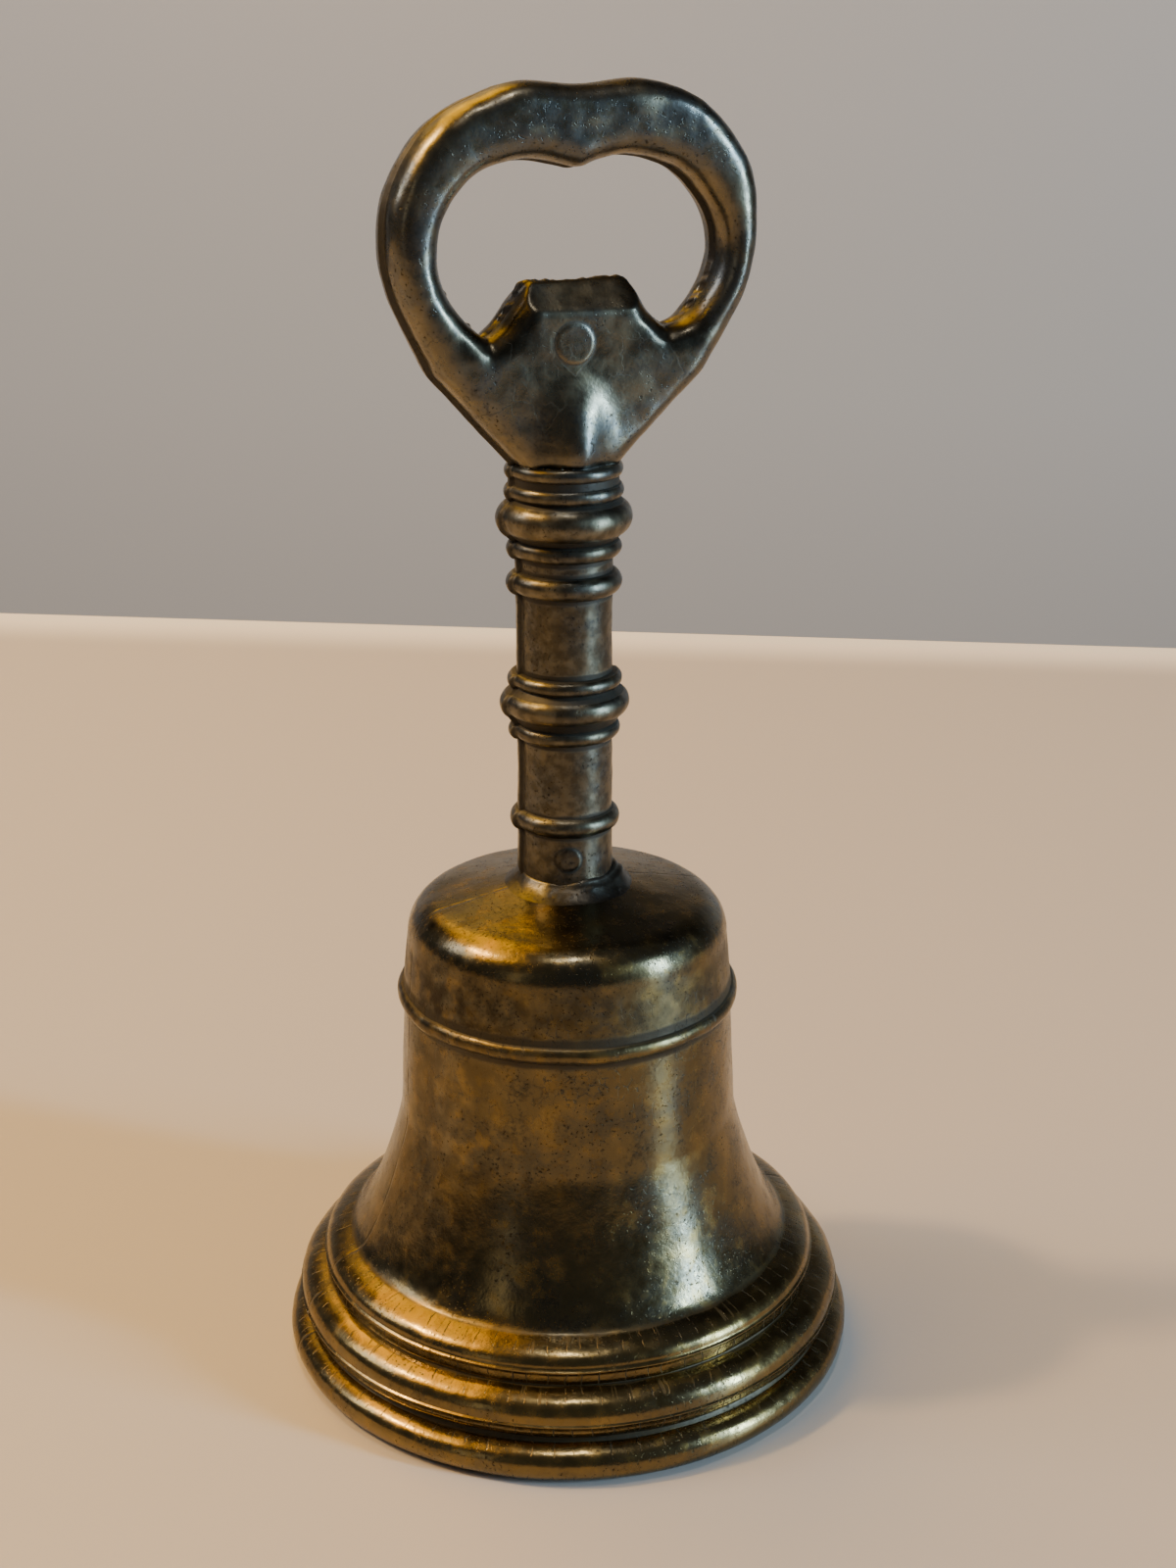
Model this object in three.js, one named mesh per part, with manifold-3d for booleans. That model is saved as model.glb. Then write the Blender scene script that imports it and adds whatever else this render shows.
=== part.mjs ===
// A cast brass hand bell whose handle ends in a crown-cap opener ring.
// Millimetres, +Z up. The origin is on the bell's axis, on the surface the lip stands on.
// The opener ring lies in the XZ plane, and the bell's front faces -Y.

import * as THREE from 'three';
import { mergeVertices } from 'three/addons/utils/BufferGeometryUtils.js';
import Module from 'manifold-3d';

const wasm = await Module();
wasm.setup();

// ---- driving dimensions ----

const GAP = 0.1; // left between pieces that are clamped or soldered together
const LINK_GAP = 0.2; // slack between two hooked rings

// bell shell: three stepped rolls at the lip, a flare, a bead, and a shouldered crown
const LIP_ROLL = { r: 32.9, z: 2.12, tube: 2.12 };
const MIDDLE_ROLL = { r: 31.0, z: 7.65, tube: 2.48 };
const UPPER_ROLL = { r: 28.0, z: 12.0, tube: 2.3 };
const LOWER_CREASE = { r: 31.9, z: 5 };
const UPPER_CREASE = { r: 29.1, z: 10.2 };
const WAIST = { r: 20.3, z: 31.4 };
const FLARE_HANDLES = [{ r: 23.8, z: 15.7 }, { r: 20.3, z: 30 }]; // from the upper roll to the waist
const BEAD = { r: 19.28, z: 46.3, tube: 1.12 };
const SHOULDER = { r: 14.6, z: 53.8, tube: 4.4 };
const BOSS = { r: 6.4, z: 59.9 }; // flat seat for the handle's foot
const LIP_INNER_R = 31.2;
const LIP_CHAMFER = { r: 30.4, z: 1.5 };
const SOUND_BOW = { r: 26.4, z: 12 };
const INNER_WAIST = { r: 17.5, z: 31.4 };
const INNER_FLARE_HANDLES = [{ r: 17.9, z: 24 }, { r: 22, z: 14.4 }]; // from the waist to the sound bow
const INNER_SHOULDER = { r: 12.2, tube: 4.5 };
const CROWN_UNDERSIDE_Z = 55.4;

// the run of solder round the handle's foot
const SOLDER = { clear: 0.3, width: 2.94, height: 2, thinEdge: 0.2, crest: { r: 6.4, height: 0.8 } };

// handle shaft: plain bars between turned rings, each ring given by height, outer radius and tube
const FOOT_Z = BOSS.z + GAP;
const SHAFT_R = 5.26;
const RINGS = [
  { z: 68.15, outer: 6.14, tube: 1.2 },
  { z: 79.0, outer: 6.22, tube: 0.95 },
  { z: 82.2, outer: 7.23, tube: 1.5 },
  { z: 84.95, outer: 6.34, tube: 0.9 },
  { z: 96.35, outer: 6.32, tube: 1.3 },
  { z: 100.3, outer: 6.25, tube: 0.95 },
  { z: 103.7, outer: 7.46, tube: 2.05 },
  { z: 106.8, outer: 6.4, tube: 0.8 },
  { z: 109.2, outer: 6.34, tube: 0.75 },
];
const SHAFT_TOP_Z = 112;

// opener head, outlined at its mid plane as [x, z]; the casting leans a little towards +X
const HEAD_THICKNESS = 8;
const HEAD_ROUNDING = { depth: 2.9, inset: 1.6 };
const HEAD_BASE = [[-6.2, 110.2], [6.2, 110.2]];
const HEAD_OUTLINE = [[15.3, 119.2], [20.1, 127.3], [21.6, 134.3], [20.5, 141.4], [15.1, 147.7],
  [8.5, 150], [1.4, 149.5], [-5.2, 149.9], [-10.1, 148.4], [-14.6, 145.8], [-18.2, 141.2],
  [-19.9, 135.5], [-19.1, 128.7], [-15, 119.9]];
const HOLE_OUTLINE = [[13.5, 125.2], [16.4, 129], [17.2, 132.8], [16, 136.9], [12.4, 140.8],
  [7, 142.4], [3, 141.8], [1, 141.1], [-1, 141.5], [-4.8, 142.1], [-9.9, 140.7], [-13.3, 137.3],
  [-14.5, 133], [-13.9, 129.2], [-12, 126.2]];
const LUG_OUTLINE = [[-9.4, 123.7], [-7.6, 125.2], [-4.4, 129.5], [6.6, 129.8], [8.8, 126.2],
  [10.8, 124.3]];
const LUG_EDGE = 1.2; // thickness of the lug's working edge
const LUG_TOP_Z = 129.8;
const LUG_BEVEL_HEIGHT = 3.6;
const LUG_WIDTH = 15;
const LUG_CENTRE_X = 1;
const RIDGE = { bottomR: 6.2, topR: 3.2, height: 11 }; // round ridge that fairs the head into the neck

// clapper and its fixings, hung on the bell's axis
const BOLT_R = 2.5;
const BOLT_TOP_Z = 72;
const TAPPED_HOLE_TOP_Z = 74;
const WASHER = { outer: 5.5, thickness: 1 };
const NUT = { acrossFlats: 8, thickness: 3.2 };
const BOLT_EYE = { r: 3.9, wire: 1.25 };
const EYE_DROP = 0.8; // from the nut down to the top of the eye
const LINK = { r: 4.2, wire: 0.9 };
const ROD_EYE = { r: 3.3, wire: 1.1 };
const ROD_R = 1.2;
const BALL_R = 6.5;
const BALL_DROP = 23; // from the clapper's pivot to the ball's centre
const END_NUT = { acrossFlats: 5, thickness: 2.4 };
const ROD_OVERHANG = 0.4;
const EYE_OVERLAP = 0.4; // how far a shank runs into its eye's wire

// heights that follow from those
const WASHER_Z = CROWN_UNDERSIDE_Z - GAP - WASHER.thickness;
const NUT_Z = WASHER_Z - GAP - NUT.thickness;
const BOLT_EYE_Z = NUT_Z - EYE_DROP - BOLT_EYE.r - BOLT_EYE.wire;
const LINK_PIVOT_Z = BOLT_EYE_Z - BOLT_EYE.r;
const LINK_Z = LINK_PIVOT_Z + BOLT_EYE.wire + LINK_GAP + LINK.wire - LINK.r;
const CLAPPER_PIVOT_Z = LINK_Z - LINK.r;
const ROD_EYE_Z = CLAPPER_PIVOT_Z + LINK.wire + LINK_GAP + ROD_EYE.wire - ROD_EYE.r;
const BALL_Z = CLAPPER_PIVOT_Z - BALL_DROP;
const END_NUT_Z = BALL_Z - BALL_R - GAP - END_NUT.thickness;

// ---- materials ----

function metal(color, roughness, metalness = 1) {
  return new THREE.MeshStandardMaterial({ color, roughness, metalness });
}

const agedBrass = metal(0x7a6a45, 0.42);
const handleBrass = metal(0x6f644a, 0.42);
const solder = metal(0x6d675a, 0.5);
const steel = metal(0x8d8f92, 0.35);
const plainBrass = metal(0xa98b4e, 0.38);

// ---- geometry helpers ----

function point(r, z) {
  return new THREE.Vector2(r, z);
}

const pointAt = ({ r, z }) => point(r, z);

// points of a circular arc in the profile plane, angles in degrees from the outward direction
function arc(centre, fromDegrees, toDegrees, steps) {
  return Array.from({ length: steps + 1 }, (_, i) => {
    const angle = THREE.MathUtils.degToRad(fromDegrees + (toDegrees - fromDegrees) * i / steps);
    return point(centre.r + centre.tube * Math.cos(angle), centre.z + centre.tube * Math.sin(angle));
  });
}

// points of a cubic curve in the profile plane, without its start
function flare(start, handles, end, steps) {
  const curve = new THREE.CubicBezierCurve(start, ...handles.map(pointAt), end);
  return curve.getPoints(steps).slice(1);
}

// a profile that runs up the outside, turned about the Z axis
function turned(profile, segments) {
  return new THREE.LatheGeometry(profile, segments).rotateX(Math.PI / 2);
}

function closedRing(profile, segments) {
  return turned([...profile, profile[0]], segments);
}

// a wire ring whose own plane is XZ, or YZ when it is turned a quarter
function wireRing(ring, z, quarterTurn) {
  const geometry = new THREE.TorusGeometry(ring.r, ring.wire, 8, 24).rotateX(Math.PI / 2);
  return (quarterTurn ? geometry.rotateZ(Math.PI / 2) : geometry).translate(0, 0, z);
}

function rod(radius, bottomZ, topZ, segments) {
  const height = topZ - bottomZ;
  return new THREE.CylinderGeometry(radius, radius, height, segments)
    .rotateX(Math.PI / 2).translate(0, 0, bottomZ + height / 2);
}

// an outline of widths and heights made solid along Y, centred on the XZ plane
function plate(shape, thickness, options) {
  return new THREE.ExtrudeGeometry(shape, { depth: thickness, bevelEnabled: false, ...options })
    .translate(0, 0, -thickness / 2).rotateX(Math.PI / 2);
}

function solidOf(geometry) {
  const bare = geometry.clone();
  bare.deleteAttribute('normal');
  bare.deleteAttribute('uv');
  const merged = mergeVertices(bare, 1e-4);
  const index = merged.index.array;
  const triangles = [];
  for (let i = 0; i < index.length; i += 3) {
    const [a, b, c] = [index[i], index[i + 1], index[i + 2]];
    if (a !== b && b !== c && c !== a) triangles.push(a, b, c);
  }
  return new wasm.Manifold(new wasm.Mesh({
    numProp: 3,
    vertProperties: new Float32Array(merged.attributes.position.array),
    triVerts: new Uint32Array(triangles),
  }));
}

function geometryOf(solid) {
  const mesh = solid.getMesh();
  const geometry = new THREE.BufferGeometry();
  geometry.setAttribute('position', new THREE.BufferAttribute(new Float32Array(mesh.vertProperties), 3));
  geometry.setIndex(new THREE.BufferAttribute(new Uint32Array(mesh.triVerts), 1));
  geometry.computeVertexNormals();
  return geometry;
}

function hexagonWithHole(acrossFlats, holeR) {
  const cornerR = acrossFlats / Math.sqrt(3);
  const corners = Array.from({ length: 6 }, (_, i) => {
    const angle = i * Math.PI / 3;
    return point(cornerR * Math.cos(angle), cornerR * Math.sin(angle));
  });
  const shape = new THREE.Shape(corners);
  shape.holes.push(new THREE.Path().absarc(0, 0, holeR, 0, 2 * Math.PI, true));
  return shape;
}

// ---- bell shell ----

function bellShell() {
  const upperRoll = arc(UPPER_ROLL, -40, 70, 4);
  const outside = [
    point(LIP_INNER_R, 0),
    ...arc(LIP_ROLL, -90, 70, 6),
    pointAt(LOWER_CREASE),
    ...arc(MIDDLE_ROLL, -45, 65, 4),
    pointAt(UPPER_CREASE),
    ...upperRoll,
    ...flare(upperRoll.at(-1), FLARE_HANDLES, pointAt(WAIST), 7),
    ...arc(BEAD, -75, 75, 4),
    ...arc(SHOULDER, 0, 75, 4),
    pointAt(BOSS),
  ];
  const innerShoulder = { ...INNER_SHOULDER, z: CROWN_UNDERSIDE_Z - INNER_SHOULDER.tube };
  const inside = [
    point(BOLT_R + GAP, BOSS.z),
    point(BOLT_R + GAP, CROWN_UNDERSIDE_Z),
    ...arc(innerShoulder, 90, 0, 4),
    pointAt(INNER_WAIST),
    ...flare(pointAt(INNER_WAIST), INNER_FLARE_HANDLES, pointAt(SOUND_BOW), 5),
    pointAt(LIP_CHAMFER),
  ];
  return closedRing([...outside, ...inside], 48);
}

// ---- handle: shaft and opener head in one casting ----

// one turned ring, and the plain bar above it where the next ring stands clear
function ringAndBar(ring, i) {
  const next = RINGS[i + 1];
  const barStart = ring.z + ring.tube;
  const barEnd = next ? next.z - next.tube : SHAFT_TOP_Z;
  const bar = barEnd - barStart > 1 ? [point(SHAFT_R, barStart), point(SHAFT_R, barEnd)] : [];
  return [...arc({ r: ring.outer - ring.tube, z: ring.z, tube: ring.tube }, -75, 75, 4), ...bar];
}

function shaft() {
  return solidOf(turned([
    point(0, FOOT_Z),
    point(SHAFT_R, FOOT_Z),
    point(SHAFT_R, RINGS[0].z - RINGS[0].tube),
    ...RINGS.flatMap(ringAndBar),
    point(0, SHAFT_TOP_Z),
  ], 30));
}

const asPoints = (pairs) => pairs.map(([x, z]) => point(x, z));

function headShape() {
  const shape = new THREE.Shape(asPoints([...HEAD_BASE, HEAD_OUTLINE[0]]));
  shape.splineThru(asPoints(HEAD_OUTLINE.slice(1)));
  const hole = new THREE.Path();
  hole.moveTo(...LUG_OUTLINE.at(-1));
  hole.splineThru(asPoints([...HOLE_OUTLINE, LUG_OUTLINE[0]]));
  for (const [x, z] of LUG_OUTLINE.slice(1, -1)) hole.lineTo(x, z);
  shape.holes.push(hole);
  return shape;
}

// the wedge taken off one face of the lug, so that it thins towards its working edge
function lugCut(side) {
  const margin = 1;
  const faceY = HEAD_THICKNESS / 2;
  const wedge = new THREE.Shape(asPoints([
    [LUG_EDGE / 2, LUG_TOP_Z + margin],
    [LUG_EDGE / 2, LUG_TOP_Z],
    [faceY, LUG_TOP_Z - LUG_BEVEL_HEIGHT],
    [faceY + margin, LUG_TOP_Z - LUG_BEVEL_HEIGHT],
    [faceY + margin, LUG_TOP_Z + margin],
  ]));
  const cut = plate(wedge, LUG_WIDTH).rotateZ(side * Math.PI / 2).translate(LUG_CENTRE_X, 0, 0);
  return solidOf(cut);
}

function openerHead() {
  const rounded = plate(headShape(), HEAD_THICKNESS - 2 * HEAD_ROUNDING.depth, {
    curveSegments: 2,
    bevelEnabled: true,
    bevelThickness: HEAD_ROUNDING.depth,
    bevelSize: HEAD_ROUNDING.inset,
    bevelOffset: -HEAD_ROUNDING.inset,
    bevelSegments: 2,
  });
  const ridge = new THREE.CylinderGeometry(RIDGE.topR, RIDGE.bottomR, RIDGE.height, 24)
    .rotateX(Math.PI / 2).translate(0, 0, HEAD_BASE[0][1] + RIDGE.height / 2);
  return solidOf(rounded).subtract(lugCut(1)).subtract(lugCut(-1)).add(solidOf(ridge));
}

function openerHandle() {
  const tappedHole = solidOf(rod(BOLT_R + GAP, FOOT_Z - 1, TAPPED_HOLE_TOP_Z, 20));
  return geometryOf(shaft().add(openerHead()).subtract(tappedHole));
}

function footSolder() {
  const innerR = SHAFT_R + SOLDER.clear;
  const outerR = SHAFT_R + SOLDER.width;
  return closedRing([
    point(innerR, BOSS.z + GAP),
    point(BOSS.r, BOSS.z + GAP),
    point(outerR, BOSS.z - SOLDER.thinEdge),
    point(outerR, BOSS.z),
    point(SOLDER.crest.r, BOSS.z + SOLDER.crest.height),
    point(innerR, BOSS.z + SOLDER.height),
  ], 32);
}

// ---- clapper and its fixings ----

function clapperEyebolt() {
  const eye = solidOf(wireRing(BOLT_EYE, BOLT_EYE_Z, false));
  const shank = solidOf(rod(BOLT_R, BOLT_EYE_Z + BOLT_EYE.r - EYE_OVERLAP, BOLT_TOP_Z, 20));
  return geometryOf(shank.add(eye));
}

function eyeboltWasher() {
  return closedRing([
    point(BOLT_R + GAP, WASHER_Z),
    point(WASHER.outer, WASHER_Z),
    point(WASHER.outer, WASHER_Z + WASHER.thickness),
    point(BOLT_R + GAP, WASHER_Z + WASHER.thickness),
  ], 28);
}

function hexNut(nut, boltR, z) {
  const shape = hexagonWithHole(nut.acrossFlats, boltR + GAP);
  return new THREE.ExtrudeGeometry(shape, { depth: nut.thickness, bevelEnabled: false, curveSegments: 16 })
    .translate(0, 0, z);
}

function clapperRod() {
  const eye = solidOf(wireRing(ROD_EYE, ROD_EYE_Z, false));
  const wire = solidOf(rod(ROD_R, END_NUT_Z - ROD_OVERHANG, ROD_EYE_Z - ROD_EYE.r + EYE_OVERLAP, 14));
  return geometryOf(wire.add(eye));
}

function clapperBall() {
  const boreR = ROD_R + GAP;
  const poleAngle = THREE.MathUtils.radToDeg(Math.acos(boreR / BALL_R));
  return closedRing(arc({ r: 0, z: BALL_Z, tube: BALL_R }, -poleAngle, poleAngle, 12), 24);
}

// ---- the assembly ----

const group = new THREE.Group();

function piece(name, geometry, material) {
  const mesh = new THREE.Mesh(geometry, material);
  mesh.name = name;
  group.add(mesh);
}

piece('bell_shell', bellShell(), agedBrass);
piece('opener_handle', openerHandle(), handleBrass);
piece('foot_solder', footSolder(), solder);
piece('clapper_eyebolt', clapperEyebolt(), steel);
piece('eyebolt_washer', eyeboltWasher(), steel);
piece('eyebolt_nut', hexNut(NUT, BOLT_R, NUT_Z), steel);
piece('clapper_link', wireRing(LINK, LINK_Z, true), steel);
piece('clapper_rod', clapperRod(), steel);
piece('clapper_ball', clapperBall(), plainBrass);
piece('clapper_end_nut', hexNut(END_NUT, ROD_R, END_NUT_Z), steel);

export default group;
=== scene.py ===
import math

import bmesh
import bpy
import numpy as np
from mathutils import Matrix, Vector, noise


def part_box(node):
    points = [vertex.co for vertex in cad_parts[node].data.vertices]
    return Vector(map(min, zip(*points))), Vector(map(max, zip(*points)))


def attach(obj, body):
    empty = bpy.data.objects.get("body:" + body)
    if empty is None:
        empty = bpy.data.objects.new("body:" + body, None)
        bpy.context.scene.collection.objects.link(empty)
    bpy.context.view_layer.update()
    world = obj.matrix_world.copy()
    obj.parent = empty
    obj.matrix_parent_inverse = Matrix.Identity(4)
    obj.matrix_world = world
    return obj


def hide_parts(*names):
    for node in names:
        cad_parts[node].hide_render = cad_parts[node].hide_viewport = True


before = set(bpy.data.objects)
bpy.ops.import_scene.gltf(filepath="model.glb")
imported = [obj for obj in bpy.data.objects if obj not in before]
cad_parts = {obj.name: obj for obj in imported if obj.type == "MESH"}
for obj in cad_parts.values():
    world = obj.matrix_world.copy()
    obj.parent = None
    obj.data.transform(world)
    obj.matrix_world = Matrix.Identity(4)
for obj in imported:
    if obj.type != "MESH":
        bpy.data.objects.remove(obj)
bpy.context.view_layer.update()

# ---- bell shell ----
# The bell is one sand casting in brass: three stepped rolls round the lip, a hollow flare, a raised
# bead and a shouldered crown. It was toned dark brown, and handling has burnished its high spots.

MM = 0.001
BELL_STEPS = 256
LIP_ROLL = (32.9, 2.12, 2.12)  # radius and height of the roll's centre, and its own radius
BEAD = (19.28, 46.3, 1.12)
SHOULDER = (14.6, 53.8, 4.4)
INNER_SHOULDER = (12.2, 50.9, 4.5)
BEAD_Z = BEAD[1]
BOLT_HOLE_R = 2.6
LEDGES = ((11.3, 0.7, 0.15), (6.3, 0.6, 0.15))  # height, half width and softness of each
BROWS = ((14.3, 0.3, 0.25), (9.8, 0.25, 0.3), (4.15, 0.25, 0.3), (0.8, 0.5, 0.5))
DULL_BAND_Z = 50.0
ROLLS_TOP = (13.6, 15.2)  # hands rub the bell below this
BELL_COLOURS = dict(bright=(0.4, 0.265, 0.075), plain=(0.14, 0.11, 0.055), second=(0.092, 0.083, 0.058),
                    dark=(0.024, 0.019, 0.012))


def arc(ring, start, end, steps):
    """Points round a ring's section, from one angle to another, in degrees from straight outwards."""
    radius, height, tube = ring
    angles = [math.radians(start + (end - start) * i / steps) for i in range(steps + 1)]
    return [(radius + tube * math.cos(a), height + tube * math.sin(a)) for a in angles]


def bezier(start, leave, arrive, end, steps):
    """Points along a cubic curve, without its first."""
    points = []
    for i in range(1, steps + 1):
        t = i / steps
        weights = ((1 - t) ** 3, 3 * t * (1 - t) ** 2, 3 * t * t * (1 - t), t ** 3)
        knots = (start, leave, arrive, end)
        points.append(tuple(sum(w * k[axis] for w, k in zip(weights, knots)) for axis in (0, 1)))
    return points


def straight(start, end, steps):
    """Points along a straight line, without its first."""
    return [tuple(a + (b - a) * i / steps for a, b in zip(start, end)) for i in range(1, steps + 1)]


def turned(profile, steps, closed):
    """A body turned about the bell's axis from a profile of radius and height, in millimetres."""
    bm = bmesh.new()
    chain = [bm.verts.new((r, 0, z)) for r, z in profile]
    ends = chain[1:] + chain[:1] if closed else chain[1:]
    edges = [bm.edges.new(pair) for pair in zip(chain, ends)]
    bmesh.ops.spin(bm, geom=chain + edges, cent=(0, 0, 0), axis=(0, 0, 1), dvec=(0, 0, 0),
                   angle=2 * math.pi, steps=steps, use_merge=True)
    bmesh.ops.remove_doubles(bm, verts=bm.verts, dist=1e-4)
    bmesh.ops.recalc_face_normals(bm, faces=bm.faces)
    return bm


def made_object(name, bm, crease_angle=40):
    """The finished piece, in metres, with its place in its mesh."""
    bmesh.ops.scale(bm, vec=(MM, MM, MM), verts=bm.verts)
    mesh = bpy.data.meshes.new(name)
    bm.to_mesh(mesh)
    bm.free()
    mesh.shade_smooth()
    mesh.set_sharp_from_angle(angle=math.radians(crease_angle))
    piece = bpy.data.objects.new(name, mesh)
    bpy.context.scene.collection.objects.link(piece)
    return piece


def positions(mesh):
    """The mesh's points in millimetres, one row each."""
    flat = np.empty(len(mesh.vertices) * 3)
    mesh.vertices.foreach_get("co", flat)
    return flat.reshape(-1, 3) / MM


def directions(mesh):
    """The outward direction at each of the mesh's points."""
    return np.array([v.normal for v in mesh.vertices])


def reshape_mesh(mesh, points):
    mesh.vertices.foreach_set("co", (points * MM).ravel())
    mesh.update()


def unevenness(points, size, seed):
    """Smooth random values from about -1 to 1 at these points, with lumps of that size in millimetres."""
    shift = Vector((seed * 17.3, seed * 5.1, seed * 9.7))
    return np.array([noise.noise(Vector(p) / size + shift) for p in points])


def hump(values, centre, spread):
    """1 at the centre and falling smoothly to 0 a couple of spreads away."""
    return np.exp(-((values - centre) / spread) ** 2)


def add_relief(mesh, rounds, reach):
    """Stores how far each point stands out of its surroundings, from -1 in a groove to 1 on an edge."""
    points, normals = positions(mesh), directions(mesh)
    ends = np.array([e.vertices[:] for e in mesh.edges])
    links = np.bincount(ends.ravel(), minlength=len(points))[:, None]

    def neighbours_mean(values):
        total = np.zeros_like(values)
        np.add.at(total, ends[:, 0], values[ends[:, 1]])
        np.add.at(total, ends[:, 1], values[ends[:, 0]])
        return total / links

    around = points
    for _ in range(rounds):
        around = (around + neighbours_mean(around)) / 2
    raised = ((points - around) * normals).sum(axis=1)[:, None]
    for _ in range(3):
        raised = (raised + neighbours_mean(raised)) / 2
    layer = mesh.attributes.new("relief", "FLOAT", "POINT")
    layer.data.foreach_set("value", np.clip(raised[:, 0] / reach, -1, 1).astype(np.float32))


MIX_FACTOR, MIX_FIRST, MIX_SECOND, MIX_RESULT = 0, 6, 7, 2  # a Mix node's sockets for colours


class Signal:
    """A shader socket. Arithmetic on it adds the Math nodes that work it out."""

    def __init__(self, socket):
        self.socket = socket

    def math(self, operation, *terms):
        tree = self.socket.id_data
        node = tree.nodes.new("ShaderNodeMath")
        node.operation = operation
        for slot, term in zip(node.inputs, terms):
            if isinstance(term, Signal):
                tree.links.new(term.socket, slot)
            else:
                slot.default_value = term
        return Signal(node.outputs[0])

    def __add__(self, other):
        return self.math("ADD", self, other)

    def __radd__(self, other):
        return self.math("ADD", other, self)

    def __sub__(self, other):
        return self.math("SUBTRACT", self, other)

    def __rsub__(self, other):
        return self.math("SUBTRACT", other, self)

    def __mul__(self, other):
        return self.math("MULTIPLY", self, other)

    def __rmul__(self, other):
        return self.math("MULTIPLY", other, self)

    def __abs__(self):
        return self.math("ABSOLUTE", self)

    def maximum(self, other):
        return self.math("MAXIMUM", self, other)


class Finish:
    """One metal surface: its nodes work in millimetres and feed a Principled shader."""

    def __init__(self, name, metallic=1.0):
        self.material = bpy.data.materials.new(name)
        self.material.use_nodes = True
        self.tree = self.material.node_tree
        self.shader = self.tree.nodes["Principled BSDF"]
        self.shader.inputs["Metallic"].default_value = metallic
        spot = self.node("ShaderNodeTexCoord", output="Object")
        self.spot = self.node("ShaderNodeMapping", {}, {"Vector": spot, "Scale": (1 / MM,) * 3})
        self.x = self.node("ShaderNodeSeparateXYZ", {}, {"Vector": self.spot}, "X")
        self.y = self.node("ShaderNodeSeparateXYZ", {}, {"Vector": self.spot}, "Y")
        self.z = self.node("ShaderNodeSeparateXYZ", {}, {"Vector": self.spot}, "Z")

    def node(self, kind, settings=None, sockets=None, output=0):
        """Adds a node: first its settings, then the values or links of its sockets."""
        node = self.tree.nodes.new(kind)
        for name, value in (settings or {}).items():
            setattr(node, name, value)
        for name, value in (sockets or {}).items():
            if isinstance(value, Signal):
                self.tree.links.new(value.socket, node.inputs[name])
            else:
                node.inputs[name].default_value = value
        return Signal(node.outputs[output])

    def feed(self, name, value):
        """Links a signal to the shader, or sets the shader's own value."""
        if isinstance(value, Signal):
            self.tree.links.new(value.socket, self.shader.inputs[name])
        else:
            self.shader.inputs[name].default_value = value

    def stretched(self, scale, shift=(0, 0, 0)):
        return self.node("ShaderNodeMapping", {}, {"Vector": self.spot, "Scale": scale, "Location": shift})

    def noise(self, size, detail=3.0, spot=None, distortion=0.0):
        """Random values round 0.5, with lumps of that size in millimetres."""
        return self.node("ShaderNodeTexNoise", {}, {
            "Vector": spot or self.spot, "Scale": 1 / size, "Detail": detail, "Distortion": distortion})

    def rise(self, value, low, high):
        """0 below low, 1 above high, smooth between them."""
        return self.node("ShaderNodeMapRange", {"interpolation_type": "SMOOTHSTEP"}, {
            "Value": value, "From Min": low, "From Max": high})

    def fall(self, value, low, high):
        return 1 - self.rise(value, low, high)

    def band(self, value, centre, half, soft):
        """1 within half of the centre, and 0 from soft beyond that."""
        return self.fall(abs(value - centre), half, half + soft)

    def bands(self, value, rows):
        """1 on each of several bands, given by their centre, half width and softness."""
        total = self.band(value, *rows[0])
        for row in rows[1:]:
            total = total + self.band(value, *row)
        return total

    def mix(self, factor, first, second):
        """The first colour at factor 0, the second at 1."""
        first, second = (c if isinstance(c, Signal) else (*c, 1.0) for c in (first, second))
        return self.node("ShaderNodeMix", {"data_type": "RGBA"}, {
            MIX_FACTOR: factor, MIX_FIRST: first, MIX_SECOND: second}, MIX_RESULT)

    def cracks(self, spot, width, wander):
        """1 on the lines between the cells of a broken-up surface, 0 inside them."""
        waver = self.node("ShaderNodeTexNoise", {}, {"Vector": spot, "Scale": 1.7, "Detail": 2.0}, "Color")
        bent = self.node("ShaderNodeVectorMath", {"operation": "SCALE"}, {"Vector": waver, "Scale": wander})
        moved = self.node("ShaderNodeVectorMath", {"operation": "ADD"}, {0: spot, 1: bent})
        gap = self.node("ShaderNodeTexVoronoi", {"feature": "DISTANCE_TO_EDGE"}, {
            "Vector": moved, "Scale": 1.0}, "Distance")
        return self.fall(gap, 0.0, width)

    def bump(self, height):
        """Bends the surface by a height in millimetres."""
        self.feed("Normal", self.node("ShaderNodeBump", {}, {"Height": height, "Distance": MM}))


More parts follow.
